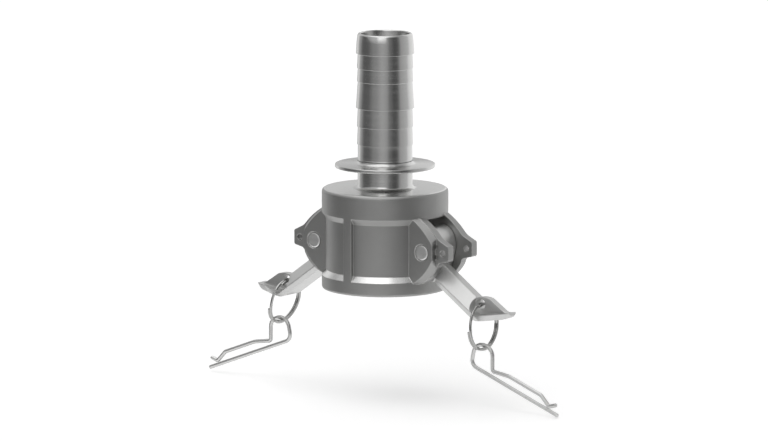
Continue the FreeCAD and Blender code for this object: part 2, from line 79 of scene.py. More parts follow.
right, up, back = camera_axes(VIEW_ANGLE, VIEW_RISE)
camera_data = bpy.data.cameras.new("product_camera")
camera_data.sensor_width = SENSOR_WIDTH
camera_data.lens = LENS_IN_PIXELS / PICTURE_WIDTH * SENSOR_WIDTH
camera_data.clip_start = 0.1
camera_data.clip_end = 100.0
camera = bpy.data.objects.new("product_camera", camera_data)
place = (back * VIEW_DISTANCE + right * (SHIFT_RIGHT_MM * MM)
         + up * (SHIFT_UP_MM * MM))
turn = Matrix((right, up, back)).transposed().to_4x4()
camera.matrix_world = Matrix.Translation(place) @ turn
scene.collection.objects.link(camera)
scene.camera = camera
print("lens %.1f mm" % camera_data.lens)

# %% [markdown]
# Every finish below is a small tree of nodes. Writing each node by hand
# takes four lines, so one function makes a node, sets it and joins it up.
# Colours are written the way a paint chart gives them, as sRGB hex values,
# and one function turns them into the linear light that shaders count in.

# %% Node and colour helpers
NOISE_LOW, NOISE_HIGH = 0.3, 0.7


def linear(code):
    """Linear colour of an sRGB hex value: a power of 2.4 above a toe."""
    parts = np.array([int(code[i:i + 2], 16) / 255 for i in (1, 3, 5)])
    light = np.where(parts <= 0.04045, parts / 12.92,
                     ((parts + 0.055) / 1.055) ** 2.4)
    return (*[float(v) for v in light], 1.0)


def add(tree, kind, sockets=None, **settings):
    """Add one node, then fill its sockets with values or with links."""
    node = tree.nodes.new("ShaderNode" + kind)
    for name, value in settings.items():
        setattr(node, name, value)
    for key, value in (sockets or {}).items():
        if isinstance(value, bpy.types.NodeSocket):
            tree.links.new(value, node.inputs[key])
        else:
            node.inputs[key].default_value = value
    return node


def new_finish(name):
    """An empty material with its tree and its output node."""
    finish = bpy.data.materials.new(name)
    finish.use_nodes = True
    tree = finish.node_tree
    tree.nodes.clear()
    return finish, tree, add(tree, "OutputMaterial")


# %% [markdown]
# The socket and the arms are investment castings. Molten stainless steel is
# poured into a fine ceramic shell, so the skin is a satin grey with a grain
# of about a third of a millimetre and soft, slow changes of tone. Real
# castings have no knife edges either. The Bevel node rounds the normals
# near an edge, and where that rounded normal leaves the true one the metal
# is rubbed a little brighter, as edges are after tumbling. Two places of
# the socket were cut after casting and are smoother and paler: the faced
# end round the neck, found by its height, and the sills just over the
# mouth, which are the low faces that slope upwards.

# %% Cast stainless steel
GRAIN_MM = 0.35
GRAIN_LOW, GRAIN_HIGH = 0.25, 0.75
TONE_MM = 9.0
EDGE_SAMPLES = 6
WORN_FROM, WORN_FULL = 0.995, 0.80
RUBBED_TONE = "#F2F2F0"
UPWARD = 0.3
FACE_FROM_MM, FACE_FULL_MM = 0.3, 0.1
FACED_ROUGHNESS = 0.24
MACHINED_TONE = "#E6E6E5"
FACED_END_MM = 45.5
SILL_TOP_MM = 9.0
NEVER_MM = 999.0


def cast_stainless(name, dull, bright, roughness, edge_mm, wear, faced_mm,
                   sill_mm):
    """Satin cast steel: tone = noise mixed from dull to bright, then
    rubbed edges, then the cut faces over faced_mm and under sill_mm."""
    finish, tree, out = new_finish(name)
    where = add(tree, "TexCoord").outputs["Object"]
    tone = add(tree, "TexNoise", {"Vector": where, "Detail": 3.0,
                                  "Scale": 1 / (TONE_MM * MM)})
    grain = add(tree, "TexNoise", {"Vector": where, "Detail": 2.0,
                                   "Scale": 1 / (GRAIN_MM * MM)})
    colour = add(tree, "MixRGB", {0: tone.outputs["Fac"],
                                  1: linear(dull), 2: linear(bright)})
    soft = add(tree, "Bevel", {"Radius": edge_mm * MM},
               samples=EDGE_SAMPLES)
    true = add(tree, "NewGeometry")
    turn_off = add(tree, "VectorMath", {0: soft.outputs["Normal"],
                                        1: true.outputs["Normal"]},
                   operation="DOT_PRODUCT")
    worn = add(tree, "MapRange", {"Value": turn_off.outputs["Value"],
                                  "From Min": WORN_FROM,
                                  "From Max": WORN_FULL,
                                  "To Min": 0.0, "To Max": wear},
               clamp=True)
    rubbed = add(tree, "MixRGB", {0: worn.outputs["Result"],
                                  1: colour.outputs["Color"],
                                  2: linear(RUBBED_TONE)})
    rough = add(tree, "MapRange", {"Value": grain.outputs["Fac"],
                                   "From Min": GRAIN_LOW,
                                   "From Max": GRAIN_HIGH,
                                   "To Min": roughness - 0.03,
                                   "To Max": roughness + 0.05})
    bump = add(tree, "Bump", {"Height": grain.outputs["Fac"],
                              "Normal": soft.outputs["Normal"],
                              "Strength": 0.12, "Distance": 0.05 * MM})
    height = add(tree, "SeparateXYZ", {0: where})
    rise = add(tree, "SeparateXYZ", {0: true.outputs["Normal"]})
    sloped = add(tree, "Math", {0: rise.outputs["Z"], 1: UPWARD},
                 operation="GREATER_THAN")
    under = add(tree, "Math", {0: height.outputs["Z"], 1: sill_mm * MM},
                operation="LESS_THAN")
    sill = add(tree, "Math", {0: sloped.outputs["Value"],
                              1: under.outputs["Value"]},
               operation="MULTIPLY")
    faced = add(tree, "MapRange", {"Value": height.outputs["Z"],
                                   "From Min": (faced_mm
                                                - FACE_FROM_MM) * MM,
                                   "From Max": (faced_mm
                                                - FACE_FULL_MM) * MM})
    machined = add(tree, "Math", {0: sill.outputs["Value"],
                                  1: faced.outputs["Result"]},
                   operation="MAXIMUM")
    skin = add(tree, "MixRGB", {0: machined.outputs["Value"],
                                1: rough.outputs["Result"],
                                2: (FACED_ROUGHNESS,) * 4})
    shown = add(tree, "MixRGB", {0: machined.outputs["Value"],
                                 1: rubbed.outputs["Color"],
                                 2: linear(MACHINED_TONE)})
    steel = add(tree, "BsdfPrincipled", {"Base Color": shown.outputs["Color"],
                                         "Metallic": 1.0,
                                         "Roughness": skin.outputs["Color"],
                                         "Normal": bump.outputs["Normal"]})
    tree.links.new(steel.outputs["BSDF"], out.inputs["Surface"])
    return finish


# The socket and the arms are the same cast steel. The socket's tones are set
# darker than the arms' as painted shade, and the arms' tones are set paler as
# painted light.
shaded_socket_steel = cast_stainless("cast_stainless_socket_painted_shade",
                            "#A4A4A3", "#AEAEAD", 0.46, 0.55, 0.40,
                            FACED_END_MM, SILL_TOP_MM)
lit_arm_steel = cast_stainless("cast_stainless_arm_painted_light",
                           "#CDCDCC", "#D7D7D6", 0.38, 0.45, 0.20,
                           NEVER_MM, -NEVER_MM)
print("casting grain %.2f mm" % GRAIN_MM)

# %% [markdown]
# The hose tail and its collar come off a lathe. The tool leaves a fine
# thread of circular marks, here drawn at a pitch of 0.5 mm, coarser than on
# the real tail so that they still show. The marks only bend the light a
# little up and down, and they leave the long upright reflections sharp.

# %% Turned stainless steel
TOOL_PITCH_MM = 0.5
WAVE_LENGTH = 0.3142
STREAKS = (60.0, 60.0, 900.0)


def turned_stainless(name, dull, bright, roughness, grooved):
    """Bright turned steel: bump = bands along the axis plus fine noise."""
    finish, tree, out = new_finish(name)
    where = add(tree, "TexCoord").outputs["Object"]
    bands = add(tree, "TexWave", {"Vector": where, "Distortion": 0.6,
                                  "Scale": WAVE_LENGTH / (TOOL_PITCH_MM
                                                          * MM),
                                  "Detail": 1.0},
                wave_type="BANDS", bands_direction="Z")
    drift = add(tree, "Mapping", {"Vector": where, "Scale": STREAKS})
    streak = add(tree, "TexNoise", {"Vector": drift.outputs["Vector"],
                                    "Scale": 1.0, "Detail": 3.0})
    colour = add(tree, "MixRGB", {0: streak.outputs["Fac"],
                                  1: linear(dull), 2: linear(bright)})
    rough = add(tree, "MapRange", {"Value": streak.outputs["Fac"],
                                   "From Min": NOISE_LOW,
                                   "From Max": NOISE_HIGH,
                                   "To Min": roughness - 0.04,
                                   "To Max": roughness + 0.04})
    bump = add(tree, "Bump", {"Height": bands.outputs["Fac"],
                              "Strength": 0.10, "Distance": 0.03 * MM})
    around = add(tree, "Tangent", direction_type="RADIAL", axis="Z")
    steel = add(tree, "BsdfPrincipled", {"Base Color": colour.outputs["Color"],
                                         "Metallic": 1.0,
                                         "Roughness": rough.outputs["Result"],
                                         "Anisotropic": grooved,
                                         "Anisotropic Rotation": 0.25,
                                         "Tangent": around.outputs["Tangent"],
                                         "Normal": bump.outputs["Normal"]})
    tree.links.new(steel.outputs["BSDF"], out.inputs["Surface"])
    return finish


tail_steel = turned_stainless("turned_stainless_tail",
                              "#CDCDCC", "#D6D6D5", 0.19, 0.0)
collar_steel = turned_stainless("faced_stainless_collar",
                                "#CDCDCC", "#D6D6D5", 0.24, 0.80)
pin_steel = turned_stainless("headed_stainless_pin",
                             "#E4E4E3", "#ECECEB", 0.38, 0.0)

# %% [markdown]
# Rings and clips are spring wire. Drawing the wire through a die leaves
# hair-thin scratches that run along it. A wire piece carries its own map,
# with one direction along the wire and one around it, so a noise that is
# stretched along the first direction follows every bend.

# %% Drawn stainless wire
HAIRS = (120.0, 26.0, 1.0)


def drawn_wire(name, dull, bright, roughness):
    """Drawn wire: noise squeezed around the wire, stretched along it."""
    finish, tree, out = new_finish(name)
    where = add(tree, "UVMap", uv_map="wire").outputs["UV"]
    squeeze = add(tree, "Mapping", {"Vector": where, "Scale": HAIRS})
    hair = add(tree, "TexNoise", {"Vector": squeeze.outputs["Vector"],
                                  "Scale": 1.0, "Detail": 3.0})
    colour = add(tree, "MixRGB", {0: hair.outputs["Fac"],
                                  1: linear(dull), 2: linear(bright)})
    rough = add(tree, "MapRange", {"Value": hair.outputs["Fac"],
                                   "From Min": NOISE_LOW,
                                   "From Max": NOISE_HIGH,
                                   "To Min": roughness - 0.05,
                                   "To Max": roughness + 0.05})
    bump = add(tree, "Bump", {"Height": hair.outputs["Fac"],
                              "Strength": 0.15, "Distance": 0.02 * MM})
    steel = add(tree, "BsdfPrincipled", {"Base Color": colour.outputs["Color"],
                                         "Metallic": 1.0,
                                         "Roughness": rough.outputs["Result"],
                                         "Normal": bump.outputs["Normal"]})
    tree.links.new(steel.outputs["BSDF"], out.inputs["Surface"])
    return finish


clip_steel = drawn_wire("drawn_stainless_clip", "#C8C8C7", "#D6D6D5", 0.30)
ring_steel = drawn_wire("rolled_stainless_ring", "#8E8E8D", "#CECECD", 0.10)

# %% [markdown]
# The seal is moulded nitrile rubber. It is nearly black, has no shine to
# speak of, and carries the faint matt bloom of a dusted mould.

# %% Nitrile rubber
BLOOM_MM = 0.6


def nitrile_rubber(name):
    """Black rubber: tone and bump from one noise, the bloom."""
    finish, tree, out = new_finish(name)
    where = add(tree, "TexCoord").outputs["Object"]
    bloom = add(tree, "TexNoise", {"Vector": where, "Detail": 4.0,
                                   "Scale": 1 / (BLOOM_MM * MM)})
    colour = add(tree, "MixRGB", {0: bloom.outputs["Fac"],
                                  1: linear("#1B1B1C"), 2: linear("#2A2A2B")})
    bump = add(tree, "Bump", {"Height": bloom.outputs["Fac"],
                              "Strength": 0.2, "Distance": 0.05 * MM})
    rubber = add(tree, "BsdfPrincipled",
                 {"Base Color": colour.outputs["Color"], "Roughness": 0.62,
                  "IOR": 1.52, "Normal": bump.outputs["Normal"]})
    tree.links.new(rubber.outputs["BSDF"], out.inputs["Surface"])
    return finish


seal_rubber = nitrile_rubber("moulded_nitrile_seal")

# %% [markdown]
# The castings, the pins and the seal keep their solids and only change
# their finish.

# %% Dress the solids that stay
STAY = {
    "coupler_body": shaded_socket_steel,
    "cam_arm_right": lit_arm_steel,
    "cam_arm_left": lit_arm_steel,
    "pivot_pin_right": pin_steel,
    "pivot_pin_left": pin_steel,
    "gasket": seal_rubber,
}
for name, finish in STAY.items():
    nodes[name].material_slots[0].material = finish

# %% [markdown]
# New pieces are grids of points. A grid has rows and columns, its columns
# always close on themselves, and its rows either close too, as on a turned
# ring, or end in a cap, as on a wire. The normals are worked out from the
# same lines as the points. Where a straight meets a round, the short step of
# the round counts more, so the shading begins to bend on the straight.

# %% From grid to mesh
MAP_LENGTH = 0.1


def signed_volume(points, quads):
    """Sum of the tetrahedra from the origin to each half of each quad."""
    a, b, c, d = (points[quads[:, k]] for k in range(4))
    first = np.einsum("ij,ij->i", a, np.cross(b, c))
    second = np.einsum("ij,ij->i", a, np.cross(c, d))
    return float((first + second).sum() / 6)


def piece_from_grid(name, grid, normals, finish, rows_close, along=None):
    """Join neighbouring points of the grid by quads, close ends by fans."""
    rows, columns = grid.shape[:2]
    number = np.arange(rows * columns).reshape(rows, columns)
    beside = np.roll(number, -1, axis=1)
    quads = np.stack([number, beside, np.roll(beside, -1, axis=0),
                      np.roll(number, -1, axis=0)], axis=-1)
    if not rows_close:
        quads = quads[:-1]
    quads = quads.reshape(-1, 4)
    points = grid.reshape(-1, 3)
    shading = normals.reshape(-1, 3)
    faces = [quads]
    if not rows_close:
        first, last = len(points), len(points) + 1
        points = np.vstack([points, grid[0].mean(0), grid[-1].mean(0)])
        shading = np.vstack([shading, normals[0].mean(0),
                             normals[-1].mean(0)])
        start = np.stack([np.full(columns, first), beside[0], number[0]], 1)
        end = np.stack([np.full(columns, last), number[-1], beside[-1]], 1)
        faces += [start, end]
    if signed_volume(points, quads) < 0:
        faces = [part[:, ::-1] for part in faces]
    mesh = bpy.data.meshes.new(name)
    mesh.from_pydata(points.tolist(), [],
                     [face for part in faces for face in part.tolist()])
    mesh.polygons.foreach_set("use_smooth", np.ones(len(mesh.polygons), bool))
    if along is not None:
        lay_wire_map(mesh, along, rows, columns)
    mesh.normals_split_custom_set_from_vertices(shading.tolist())
    mesh.materials.append(finish)
    piece = bpy.data.objects.new(name, mesh)
    scene.collection.objects.link(piece)
    print("%s: %d faces" % (name, len(mesh.polygons)))
    return piece


def lay_wire_map(mesh, along, rows, columns):
    """Map = (distance along the wire in tenths of a metre, share of a
    half turn around it, which grows and falls so that it has no seam)."""
    corner = np.empty(len(mesh.loops), np.int32)
    mesh.loops.foreach_get("vertex_index", corner)
    around = np.tile(np.abs(np.linspace(-1, 1, columns, endpoint=False)), rows)
    length = np.repeat(along / MAP_LENGTH, columns)
    pair = np.stack([np.append(length, [0.0, 0.0]),
                     np.append(around, [0.0, 0.0])], axis=1)
    layer = mesh.uv_layers.new(name="wire")
    layer.data.foreach_set("uv", pair[corner].astype(np.float32).ravel())


# %% [markdown]
# A turned part and a bent wire both start from a line with rounded corners.
# The maker gives the corner points and a bend radius at each of them. An
# arc that touches both legs starts at the radius divided by the tangent of
# half the corner's angle, and its points come as one array.

# %% Lines with rounded corners


def corner_arc(before, corner, after, radius, steps):
    """Arc points: centre + radius times a unit vector that turns evenly."""
    to_before = (before - corner) / np.linalg.norm(before - corner)
    to_after = (after - corner) / np.linalg.norm(after - corner)
    half = math.acos(float(np.clip(to_before @ to_after, -1, 1))) / 2
    bisector = to_before + to_after
    bisector = bisector / np.linalg.norm(bisector)
    centre = corner + bisector * radius / math.sin(half)
    start = corner + to_before * radius / math.tan(half) - centre
    sweep = (math.pi - 2 * half) * np.linspace(0, 1, steps)
    side = np.sign(start[0] * (-bisector[1]) - start[1] * (-bisector[0]))
    turn_cos, turn_sin = np.cos(sweep * side), np.sin(sweep * side)
    return centre + np.stack([start[0] * turn_cos - start[1] * turn_sin,
                              start[0] * turn_sin + start[1] * turn_cos], 1)


def rounded_line(corners, closed, steps=7):
    """Corner points (a, b, radius) to a smooth line of points."""
    stops = [np.array(c[:2], float) for c in corners]
    count = len(corners)
    inner = range(count) if closed else range(1, count - 1)
    line = [] if closed else [stops[0][None]]
    for k in inner:
        arc_steps = max(steps, int(corners[k][2] * 2.5))
        line.append(corner_arc(stops[k - 1], stops[k],
                               stops[(k + 1) % count],
                               corners[k][2], arc_steps))
    if not closed:
        line.append(stops[-1][None])
    return np.vstack(line)


def line_tangents(line, closed):
    """Unit direction at each point = mean of its two runs' directions, each
    weighted by the other run's length, as on a circle through all three."""
    ahead = np.roll(line, -1, axis=0) - line
    if not closed:
        ahead[-1] = ahead[-2]
    behind = np.roll(ahead, 1, axis=0)
    if not closed:
        behind[0] = ahead[0]
    long_ahead = np.linalg.norm(ahead, axis=1, keepdims=True)
    long_behind = np.linalg.norm(behind, axis=1, keepdims=True)
    mixed = (ahead / long_ahead ** 2 + behind / long_behind ** 2)
    return mixed / np.linalg.norm(mixed, axis=1, keepdims=True)


# %% [markdown]
# The hose tail is one profile carried round the axis. Its six barbs slope
# gently towards the open end and stop short at a sharp shoulder, so a hose
# goes on easily and doesn't come off. The real shoulders are broken by a
# touch of the lathe tool, here 0.15 mm. The highest barb is rounded towards
# the open end, and the neck flares out at its foot where it meets the end
# wall of the socket.

# %% Turned pieces


def turned_piece(name, profile, finish, around=256):
    """Surface = (r cos t, r sin t, z) for each profile point (r, z)."""
    line = rounded_line(profile, closed=True)
    slope = line_tangents(line, closed=True)
    angle = np.linspace(0, 2 * np.pi, around, endpoint=False)[:, None]
    cos, sin = np.cos(angle), np.sin(angle)
    radius, height = line[:, 0][None], line[:, 1][None]
    grid = np.stack([radius * cos, radius * sin,
                     height + 0 * angle], axis=-1) * MM
    out, rise = slope[:, 1][None], -slope[:, 0][None]
    normals = np.stack([out * cos, out * sin, rise + 0 * angle], axis=-1)
    area = np.sum(line[:, 0] * np.roll(line[:, 1], -1)
                  - line[:, 1] * np.roll(line[:, 0], -1))
    return piece_from_grid(name, grid, normals * np.sign(area), finish, True)


BARBS = ((65.3, 12.62), (73.4, 12.68), (81.8, 13.14), (93.8, 12.64),
         (99.8, 12.66), (106.4, 13.13))
BARB_ROOT = 12.29
BORE, NECK, PLAIN = 10.9, 12.37, 12.26
TAIL_FOOT, TAIL_TOP = 41.8, 115.5
BROKEN_EDGE, SHOULDER_RISE = 0.15, 0.02
tail_profile = [(BORE, TAIL_FOOT, 0.1), (13.2, TAIL_FOOT, 0.1),
                (13.2, 45.45, 0.05), (14.9, 45.5, 0.05), (NECK, 45.6, 2.0),
                (NECK, 58.6, 0.05), (PLAIN, 58.8, 0.05)]
for index, (foot, rim) in enumerate(BARBS):
    root = PLAIN if index == 0 else BARB_ROOT
    tail_profile += [(root, foot, 0.05),
                     (rim, foot + SHOULDER_RISE, BROKEN_EDGE)]
tail_profile += [(12.78, 112.0, 8.0), (12.3, TAIL_TOP, 0.9),
                 (BORE, TAIL_TOP, 0.45)]
hose_tail = turned_piece("turned_hose_tail", tail_profile, tail_steel)
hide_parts("hose_shank")
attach(hose_tail, "coupler")

COLLAR_RIM, COLLAR_LOW, COLLAR_HIGH = 22.57, 54.9, 56.5
collar_profile = [(NECK, COLLAR_LOW, 0.05), (COLLAR_RIM, COLLAR_LOW, 0.35),
                  (COLLAR_RIM, COLLAR_HIGH, 0.35), (12.6, 56.55, 1.7),
                  (12.42, 58.5, 0.03)]
collar = turned_piece("turned_collar", collar_profile, collar_steel)
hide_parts("shank_collar")
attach(collar, "coupler")

# %% [markdown]
# A wire is a small outline carried along a path. At each point of the path
# the outline stands square to the direction of travel, and at both ends it
# shrinks over a quarter round, the way a cropped and deburred end looks.

# %% Wire pieces
END_ROWS = 4


def flat_round(half_wide, half_high, power, count):
    """Superellipse: each of cosine and sine raised to 2 over the power."""
    angle = np.linspace(0, 2 * np.pi, count, endpoint=False)
    cos, sin = np.cos(angle), np.sin(angle)
    return np.stack([half_wide * np.sign(cos) * np.abs(cos) ** (2 / power),
                     half_high * np.sign(sin) * np.abs(sin) ** (2 / power)],
                    axis=1)


def extend(rows):
    """Give every row of a rounded end the value of the wire's own end."""
    return np.vstack([np.repeat(rows[:1], END_ROWS, 0), rows[1:-1],
                      np.repeat(rows[-1:], END_ROWS, 0)])


def wire_piece(name, path, side_a, outline, finish, end_round):
    """Surface = path + outline_a * side_a + outline_b * side_b."""
    step = np.gradient(path, axis=0)
    ahead = step / np.linalg.norm(step, axis=1, keepdims=True)
    side_a = side_a - ahead * np.sum(side_a * ahead, axis=1, keepdims=True)
    side_a = side_a / np.linalg.norm(side_a, axis=1, keepdims=True)
    side_b = np.cross(ahead, side_a)
    quarter = np.linspace(0, np.pi / 2, END_ROWS + 1)[1:]
    reach = end_round * np.sin(quarter)
    shrink = 1 - end_round * (1 - np.cos(quarter)) / np.abs(outline).max()
    path = np.vstack([path[0] - ahead[0] * (reach - end_round)[::-1, None],
                      path[1:-1],
                      path[-1] + ahead[-1] * (reach - end_round)[:, None]])
    size = np.concatenate([shrink[::-1], np.ones(len(ahead) - 2), shrink])
    side_a, side_b, ahead = extend(side_a), extend(side_b), extend(ahead)
    a, b = outline[:, 0][None, :, None], outline[:, 1][None, :, None]
    grid = (path[:, None] + size[:, None, None]
            * (a * side_a[:, None] + b * side_b[:, None]))
    slope = line_tangents(outline, closed=True)
    na, nb = slope[:, 1][None, :, None], -slope[:, 0][None, :, None]
    normals = na * side_a[:, None] + nb * side_b[:, None]
    lean = np.zeros(len(path))
    lean[:END_ROWS], lean[-END_ROWS:] = -quarter[::-1], quarter
    lean = lean[:, None, None]
    normals = normals * np.cos(lean) + ahead[:, None] * np.sin(lean)
    run = np.linalg.norm(np.diff(path, axis=0), axis=1)
    along = np.concatenate([[0.0], np.cumsum(run)])
    return piece_from_grid(name, grid, normals, finish, False, along)


# %% [markdown]
# A pull ring is a split ring. Its wire is rolled nearly flat and wound
# almost twice round, so it lies double for four fifths of the way and
# single where it steps from one coil to the other. Both ends of the wire
# stay visible as small square steps.

# %% Pull rings
RING_INSIDE, RING_OUTSIDE = 9.7, 10.95
RING_MIDDLE = (RING_INSIDE + RING_OUTSIDE) / 2
COIL = 1.0
WOUND, RING_STEPS = 648, 400
STEP_START, STEP_LONG = 286, 76
RING_POWER, RING_SIDES, RING_END = 3.4, 24, 0.18
HOLE = np.array([54.4, 0.0, -2.0])


def ring_piece(name, mirror, swing, first_end):
    """Path = circle in the upright plane; its shift along the axis goes
    from one coil to the other by a smooth step over the single stretch."""
    angle = np.radians(np.linspace(0, WOUND, RING_STEPS))
    between = np.clip((np.degrees(angle) - STEP_START) / STEP_LONG, 0, 1)
    shift = COIL * (between ** 2 * (3 - 2 * between) - 0.5)
    start = angle + np.radians(first_end)
    lean = math.radians(swing)
    down = np.array([math.sin(lean), 0.0, -math.cos(lean)])
    side = np.array([0.0, 1.0, 0.0])
    axis = np.cross(side, down)
    centre = HOLE + down * RING_MIDDLE
    spoke = np.outer(np.cos(start), side) + np.outer(np.sin(start), down)
    path = centre + spoke * RING_MIDDLE + shift[:, None] * axis
    flip = np.array([mirror, mirror, 1.0])
    outline = flat_round((RING_OUTSIDE - RING_INSIDE) / 2, COIL / 2,
                         RING_POWER, RING_SIDES)
    return wire_piece(name, path * flip * MM, spoke * flip, outline * MM,
                      ring_steel, RING_END * MM)


RINGS = (("split_ring_right", "ring_right", 1, 0, 246),
         ("split_ring_left", "ring_left", -1, 15, 15))
for name, body, mirror, swing, first_end in RINGS:
    ring = ring_piece(name, mirror, swing, first_end)
    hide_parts("pull_" + name[6:])
    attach(ring, body)

# %% [markdown]
# A safety clip is one length of spring wire. One leg is straight and goes
# through the lugs of the ears, the other leg is waved so that it springs
# over them, and the eye between the legs hangs on the foot of the ring. The
# bend radii are those of the forming pins, from 1.3 to 12 mm.

# %% Safety clips
WIRE_RADIUS, CLIP_SIDES, CLIP_END = 0.93, 20, 0.3
CIRCLE_POWER = 2.0
RUN_STEP = 1.0
CLIP_SLOPE = math.radians(20.85)
EYE_ALONG, EYE_ACROSS = -1.6, 11.4
EYE_HANG = 2.08
CLIP_CORNERS = ((46.4, 0.0, 0.0), (-4.1, 0.0, 3.6), (-5.9, 11.7, 5.0),
                (3.9, 11.5, 4.4), (7.4, 2.5, 1.3), (16.5, 4.5, 12.0),
                (35.0, 4.5, 3.0), (40.7, 1.75, 1.4), (43.9, 4.15, 0.0))


def clip_piece(name, mirror, swing):
    """Path = the bent line, sloped, with its eye hung on the ring foot."""
    line = rounded_line(CLIP_CORNERS, closed=False, steps=14)
    gap = np.linalg.norm(np.diff(line, axis=0), axis=1)
    place = np.concatenate([[0.0], np.cumsum(gap)])
    even = np.unique(np.concatenate([place, np.arange(0, place[-1],
                                                        RUN_STEP)]))
    line = np.stack([np.interp(even, place, line[:, k]) for k in (0, 1)], 1)
    cos, sin = math.cos(CLIP_SLOPE), math.sin(CLIP_SLOPE)
    turned = np.stack([line[:, 0] * cos + line[:, 1] * sin,
                       0 * line[:, 0],
                       -line[:, 0] * sin + line[:, 1] * cos], axis=1)
    eye = np.array([EYE_ALONG * cos + EYE_ACROSS * sin, 0,
                    EYE_ACROSS * cos - EYE_ALONG * sin])
    lean = math.radians(swing)
    foot = HOLE + 2 * RING_MIDDLE * np.array([math.sin(lean), 0.0,
                                              -math.cos(lean)])
    path = foot + np.array([0.0, 0.0, EYE_HANG]) - eye + turned
    flip = np.array([mirror, mirror, 1.0])
    side = np.tile([0.0, 1.0, 0.0], (len(path), 1))
    outline = flat_round(WIRE_RADIUS, WIRE_RADIUS, CIRCLE_POWER, CLIP_SIDES)
    return wire_piece(name, path * flip * MM, side, outline * MM,
                      clip_steel, CLIP_END * MM)


for name, body, mirror, swing in (("hairpin_clip_right", "clip_right", 1, 0),
                                  ("hairpin_clip_left", "clip_left", -1, 15)):
    clip = clip_piece(name, mirror, swing)
    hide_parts("safety_" + name[8:])
    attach(clip, body)

# %% [markdown]
# Bare steel is a mirror with a soft skin, so the studio around it draws
# most of what is seen. The set is a pale sweep: white floor and white wall
# behind and beside the object, with the darker room towards the camera and
# two narrow dark flags that give the round parts their upright bands. A
# soft box hangs overhead, a little to the left, and shows as the white line
# on the sills. A second one stands in front and lights the rounded end of
# the tail. The world holds all of it: brightness against compass angle for
# the walls, then the ceiling, the pale sweep below, which is darker in
# front, and the boxes. A box is written as its left, right, low and high
# edge and the width of its soft border, all as parts of a unit direction.
# What the camera sees directly of the world is plain white.

# %% Studio walls
WALLS = ((-180, 0.58), (-162, 0.66), (-142, 0.90), (-122, 0.42),
         (-98, 0.13), (-76, 0.13), (-42, 0.30), (-10, 0.46), (4, 0.41),
         (22, 0.18), (38, 0.09), (50, 0.11), (72, 0.46), (100, 0.57),
         (122, 0.95), (145, 1.00), (160, 1.00), (172, 0.90), (180, 0.60))
CEILING = 0.34
CEILING_FROM, CEILING_FULL = 0.45, 0.85
SWEEP_BACK, SWEEP_FRONT = 0.95, 0.55
SWEEP_FROM, SWEEP_FULL = -0.36, -0.52
SWEEP_TURNS, SWEEP_TURNED = -0.2, 0.6
OVERHEAD, OVERHEAD_LIGHT = (-0.56, 0.12, 0.82, 1.1, 0.05), 1.25
FRONT, FRONT_LIGHT = (-0.42, 0.02, 0.28, 0.60, 0.12), 1.10
FRONT_ONLY = (0.0, 0.1)


def ramp_node(tree, value, start, end):
    """A ramp from 0 at the start to 1 at the end."""
    return add(tree, "MapRange", {"Value": value, "From Min": start,
                                  "From Max": end}).outputs["Result"]


def both_of(tree, one, other):
    """Product of two shares."""
    return add(tree, "Math", {0: one, 1: other},
               operation="MULTIPLY").outputs["Value"]


def soft_box(tree, side, rise, left, right, low, high, soft):
    """Share of light in a box = product of a ramp at each of its edges."""
    wide = both_of(tree, ramp_node(tree, side, left - soft, left),
                   ramp_node(tree, side, right + soft, right))
    tall = both_of(tree, ramp_node(tree, rise, low - soft, low),
                   ramp_node(tree, rise, high + soft, high))
    return both_of(tree, wide, tall)


